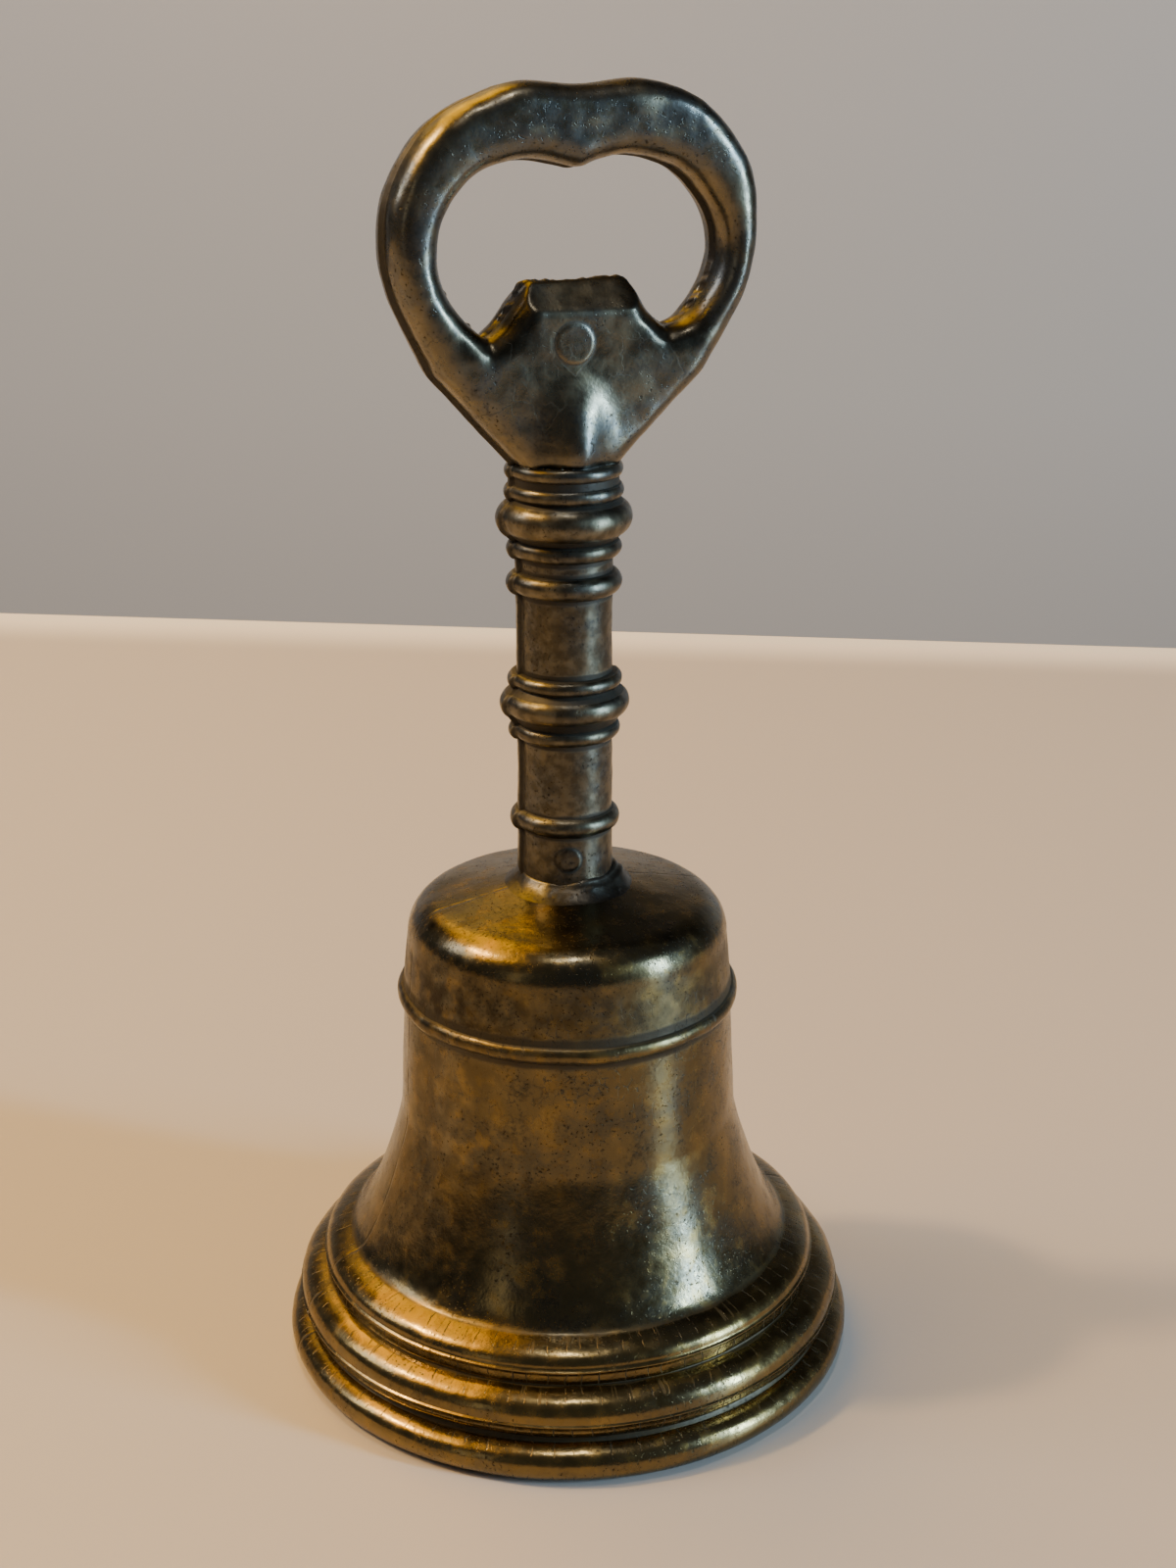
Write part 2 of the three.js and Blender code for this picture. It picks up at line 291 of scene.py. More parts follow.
def aged_brass(finish, colours, marks, dullness=0.25, grime_and_shade=0.0, burnish=0.0):
    """Toned cast brass: dark in the grooves and marks, clean on the edges, mottled between. marks is 1
    on cracks, pits and joints, grime_and_shade where grime lies and where shade is painted in, and burnish
    where hands have rubbed it bright. Returns the height of its own grain."""
    relief = finish.node("ShaderNodeAttribute", {"attribute_name": "relief"}, output="Fac")
    blotches = finish.noise(9.0, 4.0)
    mottle = finish.noise(1.6, 4.0)
    speckle = finish.noise(0.38, 2.0)
    pits = finish.rise(speckle, 0.61, 0.69) * finish.rise(blotches + (mottle - 0.5) * 0.5, 0.4, 0.55)
    broken = (mottle - 0.5) * 0.9 + (speckle - 0.5) * 0.5
    recess = finish.fall(relief + broken * 0.25, -0.55, -0.15)
    crest = finish.rise(relief + broken * 0.4, 0.2, 0.8)
    toned = finish.mix(finish.rise(blotches + broken * 0.8, 0.36, 0.64), colours["plain"], colours["second"])
    grimy = finish.mix(finish.rise(mottle + (speckle - 0.5) * 0.6, 0.46, 0.72) * 0.5, toned, colours["dark"])
    worn = finish.mix(finish.rise(finish.noise(3.2, 5.0) + broken * 0.5, 0.45, 0.75) * 0.35, grimy,
                      colours["bright"])
    edged = finish.mix((crest * 0.4).maximum(burnish), worn, colours["bright"])
    # grime_and_shade darkens the colour: real grime, and painted shade where a caller paints it
    darkened_by_grime_and_shade = finish.mix((recess * 0.85).maximum(grime_and_shade), edged, colours["dark"])
    stained = marks + pits * 0.75
    fouled = stained.math("MINIMUM", stained, 1.0)
    finish.feed("Base Color", finish.mix(fouled, darkened_by_grime_and_shade, colours["dark"]))
    rough = dullness + (mottle - 0.5) * 0.3 + recess * 0.2 + marks * 0.25 + pits * 0.15
    finish.feed("Roughness", rough)
    finish.feed("Metallic", 1.0 - (recess * 0.35).maximum(marks * 0.6))
    dents = finish.noise(2.6, 2.0)
    return dents * 0.05 + mottle * 0.03 + speckle * 0.012 - pits * 0.012


bell_outside = (
    [(31.2, 0.0)]
    + arc(LIP_ROLL, -90, 35, 18)
    + bezier((34.64, 3.34), (34.3, 3.85), (33.6, 4.2), (32.75, 4.42), 6)
    + [(32.6, 4.44), (32.46, 4.6), (32.3, 4.86), (32.4, 5.06), (32.95, 5.42), (33.28, 5.85), (33.44, 6.3)]
    + [(33.5, 6.85), (33.64, 7.0), (33.64, 7.12), (33.46, 7.26), (33.46, 7.4)]
    + bezier((33.46, 7.4), (33.46, 9.0), (32.2, 9.76), (30.9, 10.12), 12)
    + [(30.3, 10.2), (30.14, 10.26), (30.1, 10.36), (30.24, 10.5), (30.34, 10.75)]
    + straight((30.34, 10.75), (30.4, 11.9), 4)
    + [(30.5, 12.06), (30.48, 12.18), (30.28, 12.32), (30.2, 12.42)]
    + bezier((30.2, 12.42), (30.2, 13.6), (28.6, 14.3), (27.0, 14.72), 14)
    + bezier((27.0, 14.72), (24.2, 16.5), (20.3, 30.0), (20.3, 31.4), 34)
    + straight((20.3, 31.4), (19.62, 45.15), 22)
    + arc(BEAD, -68, 68, 12)
    + straight((19.62, 47.4), (19.0, 53.8), 10)
    + arc(SHOULDER, 4, 75, 16)
    + straight((15.74, 58.05), (6.4, 59.9), 12)
    + straight((6.4, 59.9), (BOLT_HOLE_R, 59.9), 4)
)
bell_inside = (
    [(BOLT_HOLE_R, 55.4)]
    + straight((BOLT_HOLE_R, 55.4), (12.2, 55.4), 8)
    + arc(INNER_SHOULDER, 85, 0, 10)
    + straight((16.7, 50.9), (17.5, 31.4), 16)
    + bezier((17.5, 31.4), (17.9, 24.0), (22.0, 14.4), (26.4, 12.0), 18)
    + straight((26.4, 12.0), (30.4, 1.5), 10)
)
bell = made_object("bell_shell_cast", turned(bell_outside + bell_inside, BELL_STEPS, closed=True))

points, normals = positions(bell.data), directions(bell.data)
at_lip = hump(points[:, 2], 0.0, 1.2)  # the lip stands flat on the table
lumps = 0.1 * unevenness(points, 11.0, 1) + 0.05 * unevenness(points, 4.0, 2)
on_rolls = hump(points[:, 2], 8.0, 7.0) * 0.12 * unevenness(points, 6.0, 3)
points += normals * ((lumps + on_rolls) * (1 - at_lip))[:, None]
bead_drift = 0.34 * unevenness(points * (1, 1, 0), 9.0, 4) + 0.16 * unevenness(points * (1, 1, 0), 3.0, 5)
points[:, 2] += bead_drift * hump(points[:, 2], BEAD_Z, 1.5)
reshape_mesh(bell.data, points)
add_relief(bell.data, rounds=7, reach=0.12)

normals = directions(bell.data)
outward = (points[:, :2] * normals[:, :2]).sum(axis=1)
under_crown = (normals[:, 2] < -0.5) & (points[:, 2] > 40)
inner = bell.data.attributes.new("inner_face", "FLOAT", "POINT")
inner.data.foreach_set("value", ((outward < -0.5) | under_crown).astype(np.float32))

bell_finish = Finish("aged_bell_brass")
turn = bell_finish.y.math("ARCTAN2", bell_finish.y, bell_finish.x)
across_rolls = bell_finish.node("ShaderNodeCombineXYZ", {}, {"X": turn * 30.0, "Y": bell_finish.z * 0.16})
crazed = bell_finish.node("ShaderNodeCombineXYZ", {}, {
    "X": turn * 17.0, "Y": bell_finish.z * 0.5, "Z": bell_finish.noise(9.0, 1.0) * 2.0})
patchy = bell_finish.rise(bell_finish.noise(5.0, 3.0), 0.4, 0.6)
gaps = bell_finish.rise(bell_finish.noise(0.9, 2.0), 0.42, 0.56)
near_bead = bell_finish.band(bell_finish.z, BEAD_Z - 1.0, 4.0, 6.0)
on_ledges = bell_finish.bands(bell_finish.z, LEDGES)
on_brows = bell_finish.bands(bell_finish.z, BROWS)
ticks = bell_finish.rise(bell_finish.noise(0.7, 2.0, across_rolls), 0.62, 0.7) * on_brows * patchy
step_shift = bell_finish.rise(bell_finish.z, 8.2, 8.4) * 0.37 + bell_finish.noise(1.8, 3.0) * 0.5
split_gap = bell_finish.node("ShaderNodeTexVoronoi", {
    "voronoi_dimensions": "1D", "feature": "DISTANCE_TO_EDGE"}, {
    "W": turn * 13.0 + step_shift, "Scale": 1.0}, "Distance")
splits = bell_finish.fall(split_gap, 0.006, 0.035) * on_ledges.maximum(on_brows * gaps)
waist_cracks = bell_finish.cracks(crazed, 0.05, 0.8) * near_bead * patchy * gaps
parting = bell_finish.band(bell_finish.y, 0.0, 0.05, 0.25) * bell_finish.rise(
    bell_finish.noise(4.0, 2.0), 0.35, 0.6)
inside_bell = bell_finish.node("ShaderNodeAttribute", {"attribute_name": "inner_face"}, output="Fac")
# a band under the shoulder, made rougher and darker
dull_band = bell_finish.band(bell_finish.z, DULL_BAND_Z, 1.5, 4.0)
# painted shade: the left side of the waist and crown, above the rolls, is darkened
left_side_painted_shade = bell_finish.fall(bell_finish.x, -21.0, -8.0) * bell_finish.rise(bell_finish.z, 13.0, 18.0)
grime_patches = bell_finish.rise(bell_finish.noise(2.0, 5.0), 0.3, 0.65)
# patchy grime all over and more in the dull band, with painted shade on the left side
bell_grime_and_painted_shade = (dull_band * 0.45 + left_side_painted_shade * 0.45 + 0.1) * grime_patches
bell_marks = (ticks * 0.5).maximum(splits).maximum(waist_cracks * 0.8).maximum(parting * 0.5).maximum(
    inside_bell * 0.7)
rubbed = bell_finish.fall(bell_finish.z, *ROLLS_TOP) * 0.18
bell_height = aged_brass(bell_finish, BELL_COLOURS, bell_marks, 0.24 + dull_band * 0.16, bell_grime_and_painted_shade, rubbed)
bell_finish.bump(bell_height - ticks * 0.006 - splits * 0.02 - waist_cracks * 0.015 - parting * 0.05)
bell.data.materials.append(bell_finish.material)

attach(bell, "bell")
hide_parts("bell_shell")

# ---- opener handle ----
# The handle is a second brass casting, from a two-part mould that didn't quite line up: its back half
# stands a little left of its front half. The ring on top opens crown caps on the lug inside it.

SHAFT_STEPS = 160
SHAFT_R = 5.26
SHAFT_FOOT_Z = 60.0
SHAFT_TOP_Z = 112.0
TAPPED_HOLE_TOP_Z = 74.0
RINGS = (  # height, outer radius, radius of the ring's own section
    (68.15, 6.14, 1.2), (79.0, 6.22, 0.95), (82.2, 7.23, 1.5), (84.95, 6.34, 0.9), (96.35, 6.32, 1.3),
    (100.3, 6.25, 1.05), (103.7, 7.46, 2.05), (106.7, 6.5, 0.95), (109.1, 6.38, 0.85),
)
HEAD_HALF = 4.0
HEAD_SIDE = 1.1  # half the height of the straight part of the head's edge
HEAD_INSET = 2.3
EDGE_STEPS = 6
HEAD_BASE = [(-5.1, 109.0), (5.0, 109.0)]
HEAD_OUTLINE = [
    (15.3, 119.2), (20.1, 127.3), (21.6, 134.3), (20.5, 141.4), (15.1, 147.7), (8.5, 150.0), (1.4, 149.5),
    (-5.2, 149.9), (-10.1, 148.4), (-14.6, 145.8), (-18.2, 141.2), (-19.9, 135.5), (-19.1, 128.7),
    (-15.0, 119.9),
]
HOLE_OUTLINE = [
    (10.8, 124.3), (13.5, 125.2), (16.4, 129.0), (17.2, 132.8), (16.0, 136.9), (12.4, 140.8), (7.0, 142.4),
    (3.0, 141.8), (1.0, 141.1), (-1.0, 141.5), (-4.8, 142.1), (-9.9, 140.7), (-13.3, 137.3),
    (-14.5, 133.0), (-13.9, 129.2), (-12.0, 126.2), (-9.4, 123.7),
]
LUG_OUTLINE = [(-9.4, 123.7), (-7.6, 125.2), (-4.4, 129.5), (6.6, 129.8), (8.8, 126.2), (10.8, 124.3)]
LUG_TOP_Z = 129.7
TIP_EDGE, TIP_BEVEL = 0.7, 3.2  # half the thickness of the lug's tip, and how far its bevel reaches down
FLANK_EDGE, FLANK_BEVEL = 2.3, 1.7  # the same for the lug's two sides
RIDGE_FOOT_Z, RIDGE_LENGTH, RIDGE_HEIGHT = 111.0, 11.0, 2.3
HEAD_MARK = (-0.2, 123.2, 2.3)  # where the round mark on the head lies, and its radius
FOOT_MARK = (-1.45, 64.3, 1.5)  # the same for the mark low on the shaft
TAIL_TIP_Z, TAIL_Z = 119.8, 120.5  # the V below the head's mark: its tip and its middle
VOXEL = 0.27
MISMATCH = (-0.5, 0.0, -0.18)
HANDLE_COLOURS = dict(bright=(0.3, 0.25, 0.15), plain=(0.135, 0.12, 0.085), second=(0.11, 0.112, 0.105),
                      dark=(0.018, 0.015, 0.011))


def spline(knots, steps):
    """Points on a smooth curve through the knots, with steps of them to each span."""
    points = [Vector(knots[0])]
    last = len(knots) - 1
    for i in range(last):
        before, start, end, after = (Vector(knots[min(max(k, 0), last)]) for k in (i - 1, i, i + 1, i + 2))
        leave, arrive = (end - before) / 2, (after - start) / 2
        for step in range(1, steps + 1):
            t = step / steps
            points.append(start + leave * t + (3 * (end - start) - 2 * leave - arrive) * t ** 2
                          + (2 * (start - end) + leave + arrive) * t ** 3)
    return points


def ring_and_bar(i):
    """One turned ring, and the plain bar above it where the next ring stands clear."""
    height, outer, tube = RINGS[i]
    section = arc((outer - tube, height, tube), -62, 62, 12)
    bar_start = height + tube
    bar_end = RINGS[i + 1][0] - RINGS[i + 1][2] if i + 1 < len(RINGS) else SHAFT_TOP_Z
    if bar_end - bar_start < 1:
        return section
    steps = round((bar_end - bar_start) / 0.35)
    return section + [(SHAFT_R, bar_start)] + straight((SHAFT_R, bar_start), (SHAFT_R, bar_end), steps)


def closed_loop(bm, outline):
    corners = [bm.verts.new((x, 0, z)) for x, z in outline]
    return [bm.edges.new(pair) for pair in zip(corners, corners[1:] + corners[:1])]


def evaluated_copy(piece, name):
    """A new object that holds the piece's shape with its modifiers worked in."""
    depsgraph = bpy.context.evaluated_depsgraph_get()
    mesh = bpy.data.meshes.new_from_object(piece.evaluated_get(depsgraph))
    mesh.name = name
    mesh.materials.clear()
    bpy.data.objects.remove(piece)
    copy = bpy.data.objects.new(name, mesh)
    bpy.context.scene.collection.objects.link(copy)
    return copy


def remeshed(piece, voxel):
    modifier = piece.modifiers.new("even_mesh", "REMESH")
    modifier.mode = "VOXEL"
    modifier.voxel_size = voxel * MM
    modifier.use_smooth_shade = True
    return evaluated_copy(piece, piece.name)


def smoothed(piece, rounds):
    modifier = piece.modifiers.new("soften", "SMOOTH")
    modifier.factor = 0.5
    modifier.iterations = rounds
    return evaluated_copy(piece, piece.name)


def joined(body, other, name):
    """Both bodies made into one, under a new name."""
    modifier = body.modifiers.new("join", "BOOLEAN")
    modifier.operation = "UNION"
    modifier.solver = "MANIFOLD"
    modifier.object = other
    union = evaluated_copy(body, name)
    bpy.data.objects.remove(other)
    return union


def beside(path, flat):
    """How far each flat point lies from a path."""
    gap = np.full(len(flat), 1e9)
    for start, end in zip(path, path[1:]):
        start, run = np.array(start), np.array(end) - np.array(start)
        along = np.clip(((flat - start) @ run) / (run @ run), 0, 1)
        gap = np.minimum(gap, np.linalg.norm(flat - start - along[:, None] * run, axis=1))
    return gap


# the head: a plate with a rounded edge on both sides of the mould line, and a ridge down its neck
head_bm = bmesh.new()
outer = [Vector(p) for p in HEAD_BASE] + spline(HEAD_OUTLINE, 8)
hole = spline(HOLE_OUTLINE, 6) + [Vector(p) for p in LUG_OUTLINE[1:-1]]
rim = closed_loop(head_bm, outer) + closed_loop(head_bm, hole)
filled = bmesh.ops.triangle_fill(head_bm, use_beauty=True, use_dissolve=False, edges=rim, normal=(0, -1, 0))
face = [g for g in filled["geom"] if isinstance(g, bmesh.types.BMFace)]
for f in face:
    if f.normal.y > 0:
        f.normal_flip()
bmesh.ops.inset_region(head_bm, faces=face, thickness=0.06, depth=HEAD_SIDE, use_even_offset=True,
                       use_boundary=True)
bend_depth = HEAD_HALF - HEAD_SIDE
for i in range(EDGE_STEPS):
    here, there = (math.radians(90 * (i + k) / EDGE_STEPS) for k in (0, 1))
    bmesh.ops.inset_region(
        head_bm, faces=face, use_even_offset=True, use_boundary=True,
        thickness=HEAD_INSET * (math.cos(here) - math.cos(there)),
        depth=bend_depth * (math.sin(there) - math.sin(here)))
bmesh.ops.mirror(head_bm, geom=head_bm.verts[:] + head_bm.edges[:] + head_bm.faces[:],
                 matrix=Matrix.Identity(4), merge_dist=1e-4, axis="Y")
bmesh.ops.recalc_face_normals(head_bm, faces=head_bm.faces)
head = remeshed(made_object("opener_head", head_bm), VOXEL * 1.3)

# a round ridge carries the shaft's shape up both faces of the neck, and the lug thins to its edge
points = positions(head.data)
ridge_fade = 0.5 + 0.5 * np.cos(math.pi * np.clip((points[:, 2] - RIDGE_FOOT_Z) / RIDGE_LENGTH, 0, 1))
ridge = RIDGE_HEIGHT * hump(points[:, 0], 0.0, 3.2) * ridge_fade * np.clip(abs(points[:, 1]) / 2.5, 0, 1)
points[:, 1] += np.sign(points[:, 1]) * ridge
gap = beside(LUG_OUTLINE, points[:, [0, 2]])
below_top = LUG_TOP_Z - points[:, 2]
at_tip = (abs(points[:, 0] - 1.0) < 10) & (below_top < TIP_BEVEL) & (below_top > -1)
flank_limit = np.where(gap < FLANK_BEVEL, FLANK_EDGE + (HEAD_HALF - FLANK_EDGE) * gap / FLANK_BEVEL, 1e9)
tip_limit = np.where(at_tip, TIP_EDGE + (HEAD_HALF - TIP_EDGE) * below_top / TIP_BEVEL, 1e9)
limit = np.maximum(np.minimum(flank_limit, tip_limit), TIP_EDGE * 0.8)
points[:, 1] = np.sign(points[:, 1]) * np.minimum(abs(points[:, 1]), limit)
reshape_mesh(head.data, points)
head = smoothed(remeshed(head, VOXEL), 9)

shaft_profile = (
    [(0.0, TAPPED_HOLE_TOP_Z), (BOLT_HOLE_R, TAPPED_HOLE_TOP_Z), (BOLT_HOLE_R, SHAFT_FOOT_Z),
     (SHAFT_R + 0.14, SHAFT_FOOT_Z)]
    + straight((SHAFT_R + 0.14, SHAFT_FOOT_Z), (SHAFT_R, RINGS[0][0] - RINGS[0][2]), 20)
    + [p for i in range(len(RINGS)) for p in ring_and_bar(i)]
    + [(0.0, SHAFT_TOP_Z)]
)
shaft = made_object("opener_shaft", turned(shaft_profile, SHAFT_STEPS, closed=False))
handle = joined(shaft, head, "opener_handle_cast")

points, normals = positions(handle.data), directions(handle.data)
x, y, z = points.T
on_mould_line = hump(y, 0.0, 0.45)
hole_foot = HOLE_OUTLINE[13:] + LUG_OUTLINE[1:] + HOLE_OUTLINE[1:4]
gap = beside(hole_foot, points[:, [0, 2]])
in_hole = hump(gap, 0.0, 1.2) * np.clip((131.5 - z) / 2, 0, 1)
ragged = unevenness(points * (1, 0, 1), 1.5, 6) + 0.5 * unevenness(points * (1, 0, 1), 0.6, 7)
points += normals * (0.5 * ragged * on_mould_line * in_hole)[:, None]
above_foot = np.clip((z - SHAFT_FOOT_Z) / 2, 0, 1)
lumps = 0.09 * unevenness(points, 5.0, 8) + 0.05 * unevenness(points, 1.8, 9)
points += normals * (lumps * above_foot * (z < 149.4))[:, None]

# round marks left by the mould's pushers, on the head's face and low on the shaft
for (mark_x, mark_z, mark_r), height in ((HEAD_MARK, 0.16), (FOOT_MARK, 0.12)):
    away = np.hypot(x - mark_x, z - mark_z)
    step = height * (1 / (1 + np.exp((away - mark_r) / 0.08))) - 0.12 * hump(away, mark_r, 0.2)
    points[:, 1] -= step * (y < -2)
back_half = np.clip((y + 0.12) / 0.24, 0, 1)
points += np.outer(back_half * above_foot, MISMATCH)
reshape_mesh(handle.data, points)
handle.data.shade_smooth()
add_relief(handle.data, rounds=8, reach=0.14)

handle_finish = Finish("aged_handle_brass")


def mark_rim(mark_x, mark_z, mark_r):
    """1 on the rim of a round mark on the handle's front."""
    flat = handle_finish.node("ShaderNodeCombineXYZ", {}, {
        "X": handle_finish.x - mark_x, "Z": handle_finish.z - mark_z})
    away = handle_finish.node("ShaderNodeVectorMath", {"operation": "LENGTH"}, {"Vector": flat}, "Value")
    return handle_finish.band(away, mark_r, 0.04, 0.2) * handle_finish.fall(handle_finish.y, -3.0, -2.0)


seam = handle_finish.band(handle_finish.y, 0.0, 0.06, 0.28)
veins = handle_finish.cracks(handle_finish.stretched((0.3, 0.3, 0.3), (3.0, 1.0, 2.0)), 0.03, 0.9)
vein_patch = handle_finish.rise(handle_finish.noise(6.0, 2.0), 0.5, 0.62) * handle_finish.band(
    handle_finish.z, 119.5, 4.0, 3.0)
head_mark = mark_rim(*HEAD_MARK)
foot_mark = mark_rim(*FOOT_MARK)
tail_gap = abs(handle_finish.x - HEAD_MARK[0]) - (handle_finish.z - TAIL_TIP_Z)
mark_tail = handle_finish.band(tail_gap, 0.0, 0.06, 0.22)
mark_tail = mark_tail * handle_finish.band(handle_finish.z, TAIL_Z, 0.6, 0.2)
on_shaft = handle_finish.fall(handle_finish.z, 104.0, 116.0)
# painted shade: the hole's lower corners beside the lug are darkened so its flanks stay dark
lug_flank_painted_shade = handle_finish.band(handle_finish.z, 125.8, 3.2, 1.5) * handle_finish.band(
    abs(handle_finish.x - 1.0), 9.5, 3.8, 1.5)
shaft_soot = on_shaft * (0.14 + 0.42 * handle_finish.rise(handle_finish.noise(1.3, 4.0), 0.35, 0.62))
handle_marks = (seam * 0.9).maximum(veins * vein_patch * 0.5).maximum(head_mark * 0.7).maximum(
    foot_mark * 0.7).maximum(mark_tail * 0.6)
handle_height = aged_brass(handle_finish, HANDLE_COLOURS, handle_marks, 0.3 + on_shaft * 0.06,
                           shaft_soot.maximum(lug_flank_painted_shade * 0.7))
handle_finish.bump(handle_height - handle_marks * 0.012)
handle.data.materials.append(handle_finish.material)

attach(handle, "bell")
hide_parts("opener_handle")

# ---- solder at the handle's foot ----
# The handle is soft-soldered to the crown. The solder ran out in an uneven collar that is thickest
# on the right, and it was toned brown with the brass.

SOLDER_INNER_R = 5.25
SOLDER_LUMPS = ((-82, 22, 0.5), (-42, 18, 0.3), (-16, 24, 1.1), (150, 30, 0.4), (60, 26, 0.4))
_, solder_high = (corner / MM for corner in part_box("foot_solder"))
solder_skin = bezier((solder_high.x, 59.45), (6.9, 59.9), (6.0, 60.4), (SOLDER_INNER_R + 0.1, 61.3), 16)
solder_profile = (
    [(SOLDER_INNER_R, 59.95), (solder_high.x, 59.36), (solder_high.x, 59.45)]
    + solder_skin
    + [(SOLDER_INNER_R, 61.3)]
)
solder = made_object("foot_solder_collar", turned(solder_profile, 144, closed=True), crease_angle=70)
points, normals = positions(solder.data), directions(solder.data)
bearing = np.degrees(np.arctan2(points[:, 1], points[:, 0]))
proud = np.clip((points[:, 2] - 59.7) / 0.8, 0, 1) * (normals[:, 2] > 0.1)
swell = 0.2 * unevenness(points, 2.4, 10) + 0.05 * unevenness(points, 0.9, 11)
for lump_bearing, spread, height in SOLDER_LUMPS:
    gap = (bearing - lump_bearing + 180) % 360 - 180
    swell += height * hump(gap, 0.0, spread)
points += (normals * (0.6, 0.6, 1.0)) * (swell * proud)[:, None]
reshape_mesh(solder.data, points)
add_relief(solder.data, rounds=10, reach=0.25)

SOLDER_COLOURS = dict(bright=(0.2, 0.185, 0.15), plain=(0.1, 0.09, 0.07), second=(0.065, 0.063, 0.056),
                      dark=(0.02, 0.018, 0.015))
solder_finish = Finish("toned_solder")
solder_joint = solder_finish.rise(solder_finish.noise(0.9, 3.0), 0.58, 0.72) * 0.6
solder_height = aged_brass(solder_finish, SOLDER_COLOURS, solder_joint, 0.36, 0.35)
solder_finish.bump(solder_height * 1.6)
solder.data.materials.append(solder_finish.material)

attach(solder, "bell")
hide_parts("foot_solder")

# ---- eyebolt ----
# A steel eyebolt comes up through the crown into the handle's tapped foot. Its eye is forged round
# and carries the clapper; its thread shows between the nut and the eye.

WIRE_STEPS = 40
THREAD_PITCH = 0.8
THREAD_DEPTH = 0.28
eyebolt_low, eyebolt_high = (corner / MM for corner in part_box("clapper_eyebolt"))
nut_low, nut_high = (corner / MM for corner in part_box("eyebolt_nut"))
BOLT_EYE_WIRE = 1.25
bolt_eye_r = eyebolt_high.x - BOLT_EYE_WIRE
bolt_eye_z = eyebolt_low.z + eyebolt_high.x
BOLT_R = 2.5


def wire_ring(bm, radius, wire, height, axis, steps=72):
    """A closed wire ring round a centre on the bell's axis, lying across the given axis."""
    start = Vector((0, 0, radius))
    section = bmesh.ops.create_circle(bm, segments=WIRE_STEPS, radius=wire)["verts"]
    upright = Matrix.Rotation(math.pi / 2, 3, "Y" if axis.y else "X")
    bmesh.ops.rotate(bm, verts=section, cent=(0, 0, 0), matrix=upright)
    bmesh.ops.translate(bm, verts=section, vec=start + Vector((0, 0, height)))
    edges = [e for e in bm.edges if all(v in section for v in e.verts)]
    bmesh.ops.spin(bm, geom=section + edges, cent=(0, 0, height), axis=axis, dvec=(0, 0, 0),
                   angle=2 * math.pi, steps=steps, use_merge=True)
    bmesh.ops.remove_doubles(bm, verts=bm.verts, dist=1e-4)
    bmesh.ops.recalc_face_normals(bm, faces=bm.faces)


def threaded_rod(bottom, top, radius):
    """A rod with a cut thread and chamfered ends, from its bottom to its top."""
    turns = int((top - bottom - 2 * THREAD_PITCH) / THREAD_PITCH)
    start = bottom + THREAD_PITCH
    root = radius - THREAD_DEPTH
    profile = [(0.0, bottom), (root - 0.1, bottom), (root, start)]
    for i in range(turns):
        z = start + i * THREAD_PITCH
        profile += [(root, z), (radius, z + 0.42 * THREAD_PITCH), (radius, z + 0.56 * THREAD_PITCH)]
    end = start + turns * THREAD_PITCH
    return turned(profile + [(root, end), (root - 0.2, top), (0.0, top)], 64, closed=False)


eye_bm = bmesh.new()
wire_ring(eye_bm, bolt_eye_r, BOLT_EYE_WIRE, bolt_eye_z, Vector((0, 1, 0)))
bmesh.ops.create_cone(eye_bm, cap_ends=True, segments=48, radius1=2.3, radius2=2.15, depth=2.4,
                      matrix=Matrix.Translation((0, 0, bolt_eye_z + bolt_eye_r + 1.1)))
eye = smoothed(remeshed(made_object("bolt_eye", eye_bm), 0.2), 6)
shank = made_object("bolt_shank", threaded_rod(bolt_eye_z + bolt_eye_r + 1.6, eyebolt_high.z, BOLT_R), 30)
eyebolt = joined(shank, eye, "eyebolt_forged")
add_relief(eyebolt.data, rounds=8, reach=0.2)

STEEL_COLOURS = dict(bright=(0.56, 0.54, 0.5), plain=(0.36, 0.345, 0.32), second=(0.22, 0.195, 0.165),
                     dark=(0.07, 0.045, 0.03))


def tarnished_steel(name, tone=1.0):
    """Plain steel that has browned in the damp: bright where it rubs, brown in its corners."""
    finish = Finish(name)
    colours = {k: tuple(c * tone for c in v) for k, v in STEEL_COLOURS.items()}
    freckles = finish.rise(finish.noise(0.7, 4.0), 0.6, 0.74) * 0.7
    height = aged_brass(finish, colours, freckles)
    finish.bump(height * 0.5)
    return finish.material


eyebolt.data.materials.append(tarnished_steel("eyebolt_steel"))
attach(eyebolt, "bell")
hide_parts("clapper_eyebolt")

# ---- washer on the eyebolt ----
# A stamped steel washer lies against the crown from below and spreads the nut's pressure. Its edges
# are eased where the punch went through.

washer_low, washer_high = (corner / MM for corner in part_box("eyebolt_washer"))
WASHER_EDGE = 0.15
washer_hole = BOLT_HOLE_R
washer_profile = [
    (washer_hole, washer_low.z + WASHER_EDGE), (washer_hole + WASHER_EDGE, washer_low.z),
    (washer_high.x - WASHER_EDGE * 0.6, washer_low.z), (washer_high.x, washer_low.z + WASHER_EDGE),
    (washer_high.x, washer_high.z - WASHER_EDGE), (washer_high.x - WASHER_EDGE, washer_high.z),
    (washer_hole + WASHER_EDGE, washer_high.z), (washer_hole, washer_high.z - WASHER_EDGE),
]
washer = made_object("eyebolt_washer_stamped", turned(washer_profile, 96, closed=True), 25)
points, normals = positions(washer.data), directions(washer.data)
reshape_mesh(washer.data, points + normals * (0.02 * unevenness(points, 1.5, 12))[:, None])
add_relief(washer.data, rounds=3, reach=0.1)
washer.data.materials.append(tarnished_steel("washer_steel", 1.1))
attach(washer, "bell")
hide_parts("eyebolt_washer")

# ---- nut on the eyebolt ----
# A hexagon nut of plain steel clamps the crown between its washer and the handle's foot. Its corners
# are chamfered at both ends.

NUT_CHAMFER = math.radians(32)
CHAMFER_FROM = 0.97  # of the distance to a flat
COUNTERSINK = 0.35
COUNTERSINK_SLOPE = 0.8


